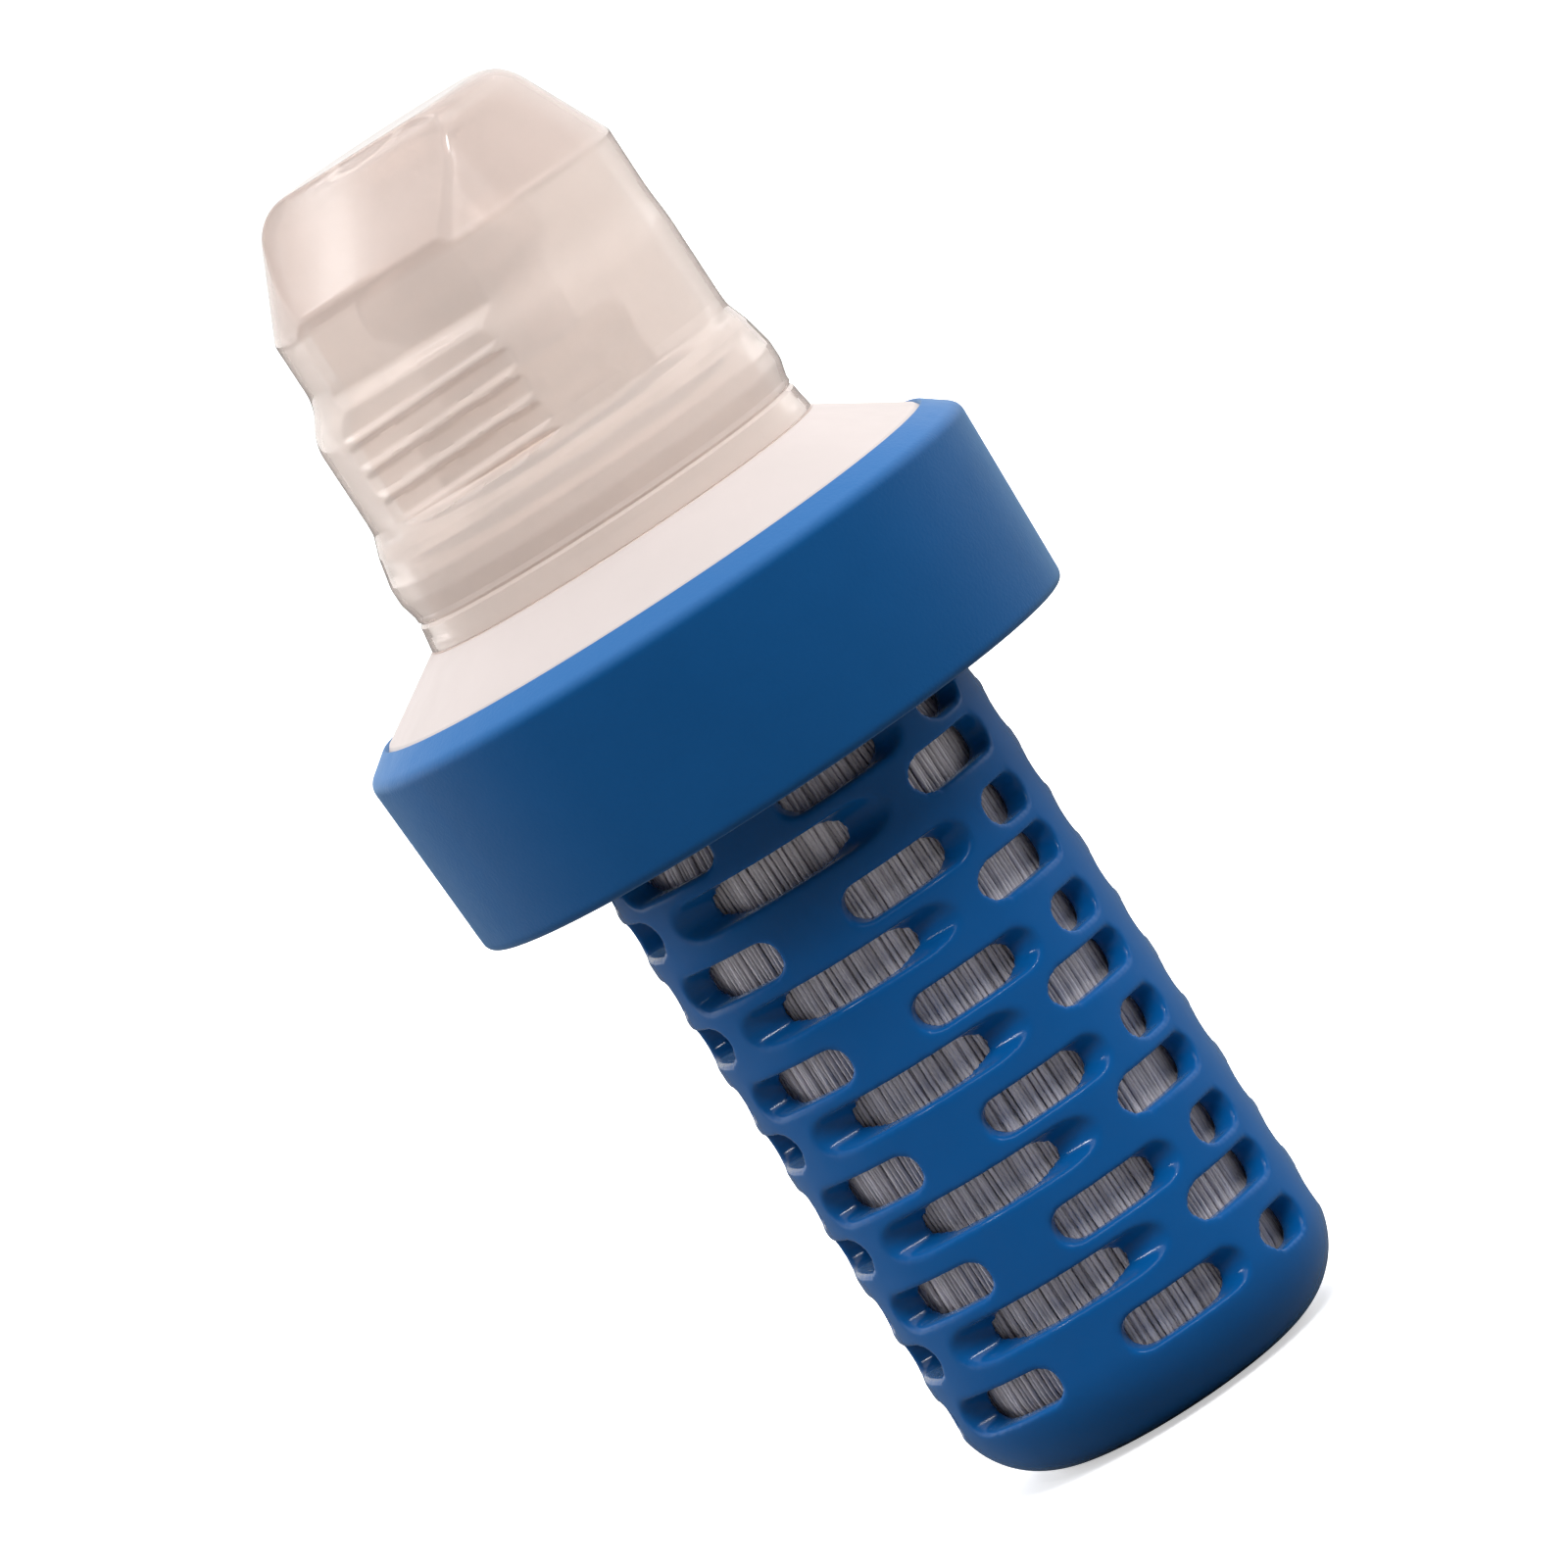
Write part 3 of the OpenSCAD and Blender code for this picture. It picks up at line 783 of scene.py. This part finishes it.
def sun(name, power, angle_deg, towards, mirrored=True):
    """Far light of an apparent size that comes from the direction towards."""
    data = bpy.data.lights.new(name, "SUN")
    data.energy = power
    data.angle = math.radians(angle_deg)
    light = bpy.data.objects.new(name, data)
    light.visible_glossy = mirrored
    light.rotation_euler = towards.to_track_quat("Z", "Y").to_euler()
    bpy.context.scene.collection.objects.link(light)


def facet_strip(eye):
    """A narrow light placed so that it mirrors as an upright band in the dust cap's facet."""
    turn = Matrix.Rotation(DUST_TURN, 3, "Z")
    across, height = -2.0, 104.5
    middle = turn @ Vector((across, -UPPER_PANEL_D + (height - FACET_Z0) * FACET_RUN, height)) * MM
    normal = turn @ Vector((0, -math.cos(FACET_SLOPE), math.sin(FACET_SLOPE)))
    uphill = turn @ Vector((0, math.sin(FACET_SLOPE), math.cos(FACET_SLOPE)))
    view = (eye - middle).normalized()
    out = 2 * normal.dot(view) * normal - view
    along = (uphill - uphill.dot(out) * out).normalized()
    light = area_light("strip", middle + STRIP_AWAY * out, middle, STRIP_SIZE, STRIP_POWER)
    light.rotation_euler = Matrix((along.cross(out), along, out)).transposed().to_euler()


def make_lights():
    """A key light from the front, two small suns for glints, a sky, two soft sides and the strip."""
    studio = Matrix.Rotation(CAMERA_AZIMUTH, 3, "Z")
    sun("key", KEY_POWER, 30, studio @ Vector(KEY_FROM), mirrored=False)
    for name, towards in GLINTS_FROM.items():
        sun(name, GLINT_POWER, 5, studio @ Vector(towards))
    sun("sky", SKY_POWER, 70, studio @ Vector(SKY_FROM))
    for name, (place, power) in SIDES.items():
        area_light(name, studio @ Vector(place), (0, 0, 0.06), SIDE_SIZE, power, mirrored=False)
    facet_strip(bpy.context.scene.camera.location)
    make_world(studio @ Vector((0, 1, 0)))


def make_world(ahead):
    """White to look at; as a light it is dim on the camera's side and bright on the far side."""
    world = bpy.data.worlds.new("studio")
    world.use_nodes = True
    tree = world.node_tree
    background = tree.nodes["Background"]
    background.inputs["Color"].default_value = (*STUDIO_WHITE, 1)
    depth = tree.nodes.new("ShaderNodeVectorMath")
    depth.operation = "DOT_PRODUCT"
    depth.inputs[1].default_value = ahead
    tree.links.new(tree.nodes.new("ShaderNodeTexCoord").outputs["Generated"], depth.inputs[0])
    fill = tree.nodes.new("ShaderNodeMapRange")
    fill.inputs["From Min"].default_value = -0.3
    fill.inputs["From Max"].default_value = 0.9
    fill.inputs["To Min"].default_value = FRONT_FILL
    fill.inputs["To Max"].default_value = BACK_FILL
    tree.links.new(depth.outputs["Value"], fill.inputs["Value"])
    strength = tree.nodes.new("ShaderNodeMix")
    strength.inputs["B"].default_value = 1.0
    tree.links.new(seen_directly(tree), strength.inputs["Factor"])
    tree.links.new(fill.outputs["Result"], strength.inputs["A"])
    tree.links.new(strength.outputs["Result"], background.inputs["Strength"])
    bpy.context.scene.world = world


def make_camera():
    """A long lens at the viewing angle of the picture, rolled so that the filter leans."""
    data = bpy.data.cameras.new("camera")
    data.sensor_width = 36
    data.lens = data.sensor_width * CAMERA_DISTANCE / FRAME_WIDTH
    data.clip_start, data.clip_end = 0.01, 20
    camera = bpy.data.objects.new("camera", data)
    flat = math.cos(CAMERA_ELEVATION)
    towards = Vector(
        (math.sin(CAMERA_AZIMUTH) * flat, -math.cos(CAMERA_AZIMUTH) * flat, math.sin(CAMERA_ELEVATION))
    )
    camera.location = CAMERA_TARGET + towards * CAMERA_DISTANCE
    level = (-towards).to_track_quat("-Z", "Y").to_matrix()
    camera.rotation_euler = (level @ Matrix.Rotation(-CAMERA_ROLL, 3, "Z")).to_euler()
    bpy.context.scene.collection.objects.link(camera)
    bpy.context.scene.camera = camera


make_camera()
materials = {
    "cage_blue": moulded(
        "cage_blue", (0.0015, 0.077, 0.262), (0.0012, 0.07, 0.242), 0.18, 0.8, 0.004, gloss=0.4, sheen=0.12
    ),
    "grip_blue": moulded(
        "grip_blue", (0.003, 0.066, 0.21), (0.0025, 0.061, 0.195), 0.46, 0.3, 0.02, gloss=0.15, sheen=0.25,
        # the lighter blue above the grip's shoulder is a painted highlight of the light from above
        pale=(0.03, 0.13, 0.34), painted_highlight_z=GRIP_HIGH.z - 1.7,
    ),
    "cap_white": cap_plastic("cap_white"),
    "head": moulded("head_plastic", (0.78, 0.78, 0.76), (0.74, 0.74, 0.72), 0.35, 0.6, 0.006),
    "clear": clear_plastic("clear_plastic"),
    "nozzle": milky_plastic("nozzle_plastic", (0.86, 0.79, 0.76), 0.8, 0.2),
    "retainer": milky_plastic("retainer_plastic", (0.5, 0.43, 0.38), 0.05, 0.3),
    "fibre": fibre_skin("fibre"),
    "black_rubber": rubber("black_rubber", (0.03, 0.03, 0.032), 0.5),
    "silicone": rubber("silicone", (0.72, 0.68, 0.65), 0.4),
    "resin": resin_skin("resin"),
}
dress_nodes(materials)
make_cage(materials["cage_blue"])
make_grip(materials["grip_blue"])
make_fibres(materials["fibre"])
make_dust_cap(materials["clear"])
make_stage()
make_lights()
bpy.context.scene.view_settings.view_transform = "Standard"
